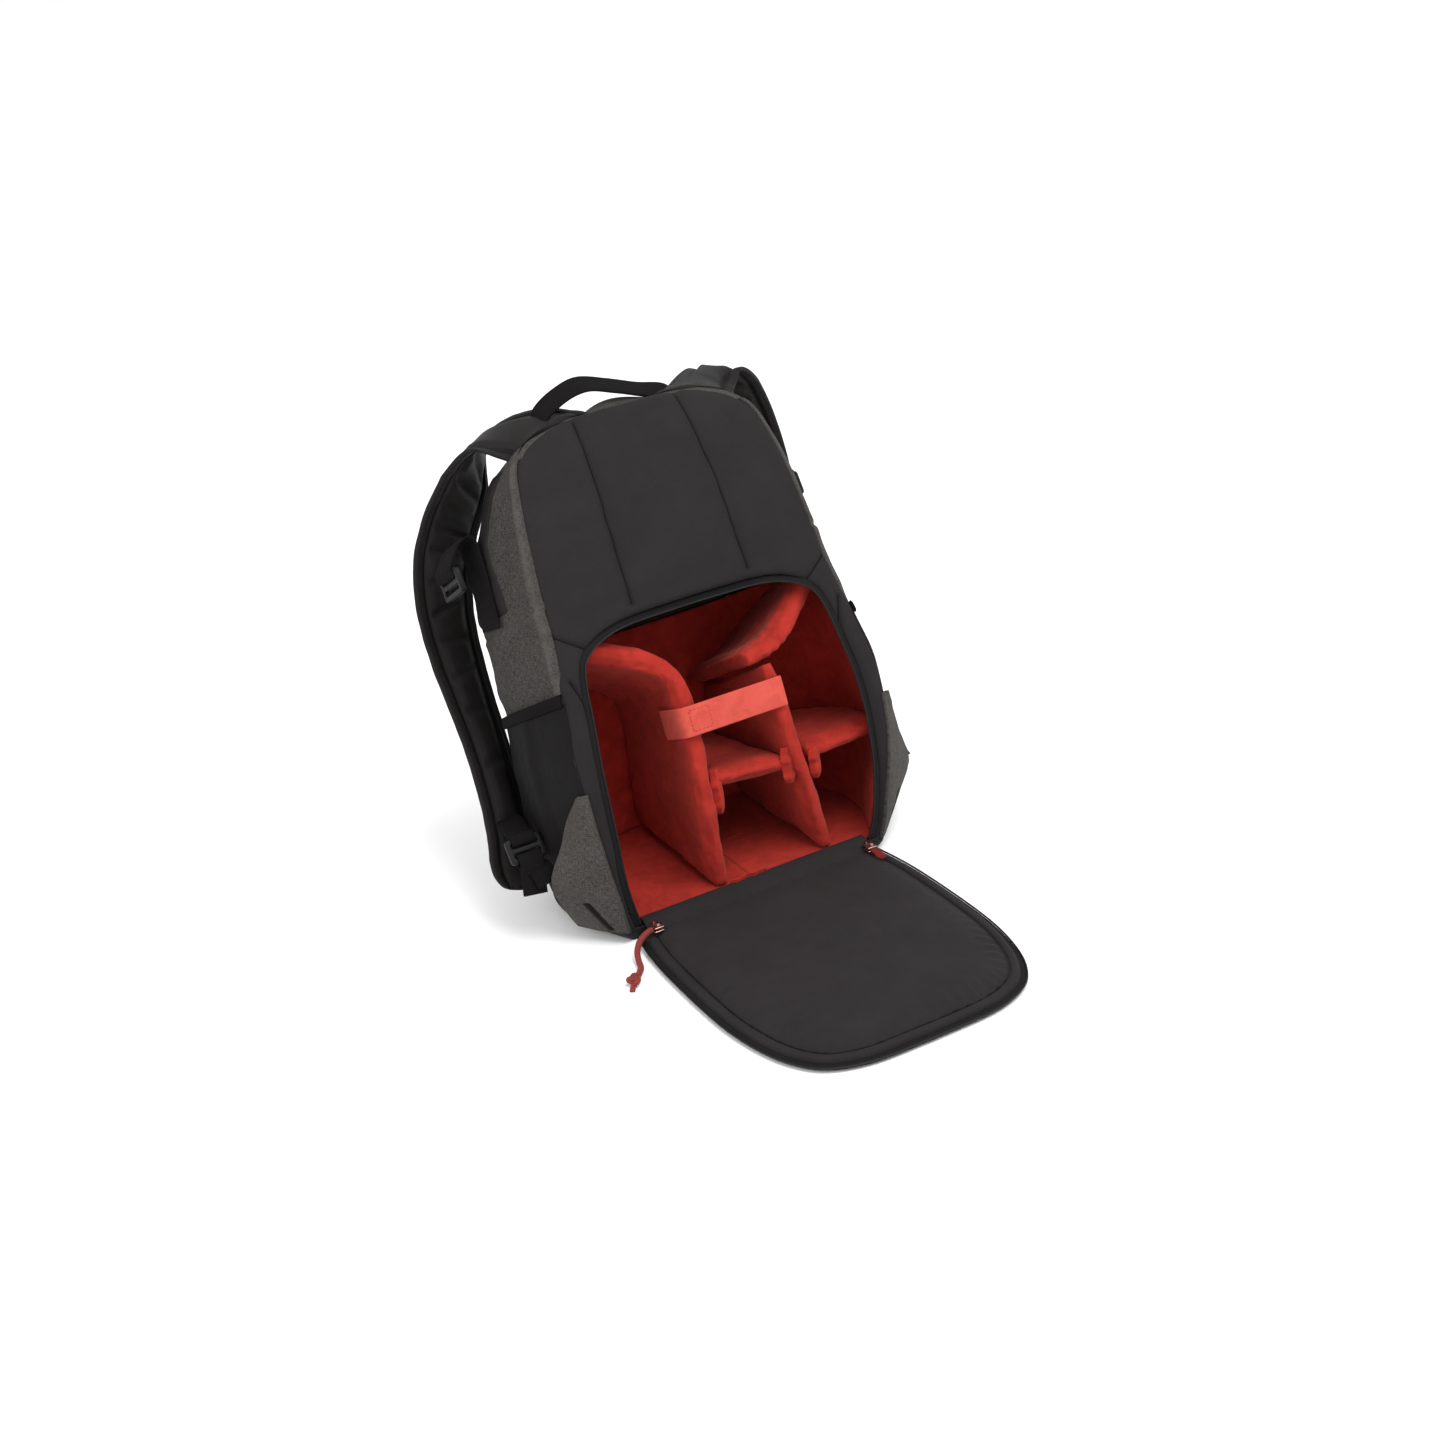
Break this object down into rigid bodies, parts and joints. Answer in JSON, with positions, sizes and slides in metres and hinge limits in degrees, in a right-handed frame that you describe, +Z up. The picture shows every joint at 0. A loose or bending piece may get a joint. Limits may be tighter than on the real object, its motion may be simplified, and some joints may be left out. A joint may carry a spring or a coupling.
{
  "type": "backpack with padded dividers",
  "caption": "Soft backpack standing on its base, its padded back-panel flap open on the floor, showing a compartment with red padded dividers",
  "frame": {"origin": "middle of the flat underside of the base", "axes": "Z up from the floor; -Y towards the wearer's side, where the flap lies open on the floor; X across the bag, its middle plane at X = 0"},
  "size_m": [0.3863, 0.4976, 0.4035],
  "materials": {
    "black_fabric": "matt woven nylon",
    "grey_fabric": "matt heather weave",
    "red_fabric": "soft brushed lining",
    "light_red_webbing": "brushed tape",
    "black_webbing": "woven tape",
    "black_zip": "woven tape with fine coil teeth",
    "red_cord": "braided",
    "black_plastic": "satin moulded",
    "slider_metal": "polished with a warm tint"
  },
  "bodies": {
    "root": {"back_panel": "black_fabric", "side_panel_left": "grey_fabric", "side_panel_right": "grey_fabric", "front_panel": "grey_fabric", "top_panel": "grey_fabric", "base_panel": "black_fabric", "bay_lining": "red_fabric", "bay_floor": "red_fabric", "bay_ceiling": "black_fabric", "divider_left": "red_fabric", "divider_right": "red_fabric", "divider_brace": "red_fabric", "shelf_centre": "red_fabric", "shelf_right": "red_fabric", "divider_strap": "light_red_webbing", "opening_zip": "black_zip", "flap": "black_fabric", "flap_zip": "black_zip", "zip_slider_left": "slider_metal", "zip_slider_right": "slider_metal", "zip_pull_left": "red_cord", "zip_pull_right": "red_cord", "side_pocket_left": "black_fabric", "side_pocket_right": "black_fabric", "pocket_hem_left": "black_webbing", "pocket_hem_right": "black_webbing", "wing_left": "grey_fabric", "wing_right": "grey_fabric", "shoulder_strap_left": "black_fabric", "shoulder_strap_right": "black_fabric", "haul_handle": "black_webbing", "ladder_lock_left": "black_plastic", "ladder_lock_right": "black_plastic", "strap_tab_left": "black_webbing", "strap_tab_right": "black_webbing", "strap_webbing_left": "black_webbing", "strap_webbing_right": "black_webbing", "side_buckle_left": "black_plastic", "side_buckle_right": "black_plastic", "side_strap_left": "black_webbing", "side_strap_right": "black_webbing"}
  },
  "joints": []
}
